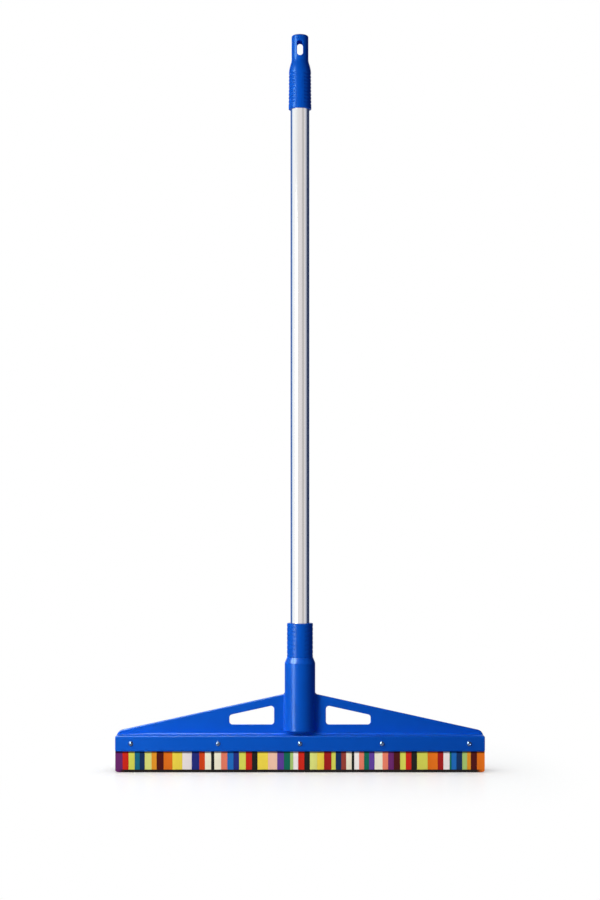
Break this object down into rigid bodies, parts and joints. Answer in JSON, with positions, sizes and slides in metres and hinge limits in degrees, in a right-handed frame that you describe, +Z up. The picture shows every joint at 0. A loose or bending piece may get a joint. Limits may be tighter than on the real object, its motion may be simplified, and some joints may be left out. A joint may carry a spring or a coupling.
{
  "type": "floor squeegee",
  "caption": "Floor squeegee with a pair of striped foam lips in a moulded channel head, a windowed web and a socket for a screw-in metal tube handle with a grooved hang grip.",
  "frame": {"origin": "on the floor, below the middle of the handle", "axes": "+X along the blade, -Y towards the front, +Z up along the handle"},
  "size_m": [0.6, 0.055, 1.2019],
  "materials": {
    "blue_plastic": "satin",
    "bare_aluminium": "polished",
    "screw_steel": "satin",
    "foam_plum": "matte",
    "foam_violet": "matte",
    "foam_indigo": "matte",
    "foam_navy": "matte",
    "foam_teal": "matte",
    "foam_blue": "matte",
    "foam_green": "matte",
    "foam_leaf": "matte",
    "foam_pistachio": "matte",
    "foam_lime": "matte",
    "foam_yellow": "matte",
    "foam_amber": "matte",
    "foam_orange": "matte",
    "foam_vermilion": "matte",
    "foam_red": "matte",
    "foam_crimson": "matte",
    "foam_maroon": "matte",
    "foam_brick": "matte",
    "foam_charcoal": "matte",
    "foam_grey": "matte",
    "foam_cream": "matte",
    "foam_peach": "matte",
    "foam_salmon": "matte"
  },
  "bodies": {
    "head": {"head_moulding": "blue_plastic", "lip_screws": "screw_steel", "foam_plum": "foam_plum", "foam_violet": "foam_violet", "foam_indigo": "foam_indigo", "foam_navy": "foam_navy", "foam_teal": "foam_teal", "foam_blue": "foam_blue", "foam_green": "foam_green", "foam_leaf": "foam_leaf", "foam_pistachio": "foam_pistachio", "foam_lime": "foam_lime", "foam_yellow": "foam_yellow", "foam_amber": "foam_amber", "foam_orange": "foam_orange", "foam_vermilion": "foam_vermilion", "foam_red": "foam_red", "foam_crimson": "foam_crimson", "foam_maroon": "foam_maroon", "foam_brick": "foam_brick", "foam_charcoal": "foam_charcoal", "foam_grey": "foam_grey", "foam_cream": "foam_cream", "foam_peach": "foam_peach", "foam_salmon": "foam_salmon"},
    "handle": {"handle_tube": "bare_aluminium"},
    "handle_ends": {"ferrule": "blue_plastic", "grip": "blue_plastic"}
  },
  "joints": [
    {"name": "handle_rise", "type": "slide", "parent": "head", "child": "handle", "axis": [0, 0, 1], "range_m": [0, 0.03]},
    {"name": "handle_turn", "type": "hinge", "parent": "handle", "child": "handle_ends", "pos_m": [0, 0, 0.1853], "axis": [0, 0, 1], "range_deg": [0, 2160]}
  ],
  "couplings": [
    {"joint": "handle_rise", "follows": "handle_turn", "m_per_rad": 0.00079577}
  ]
}
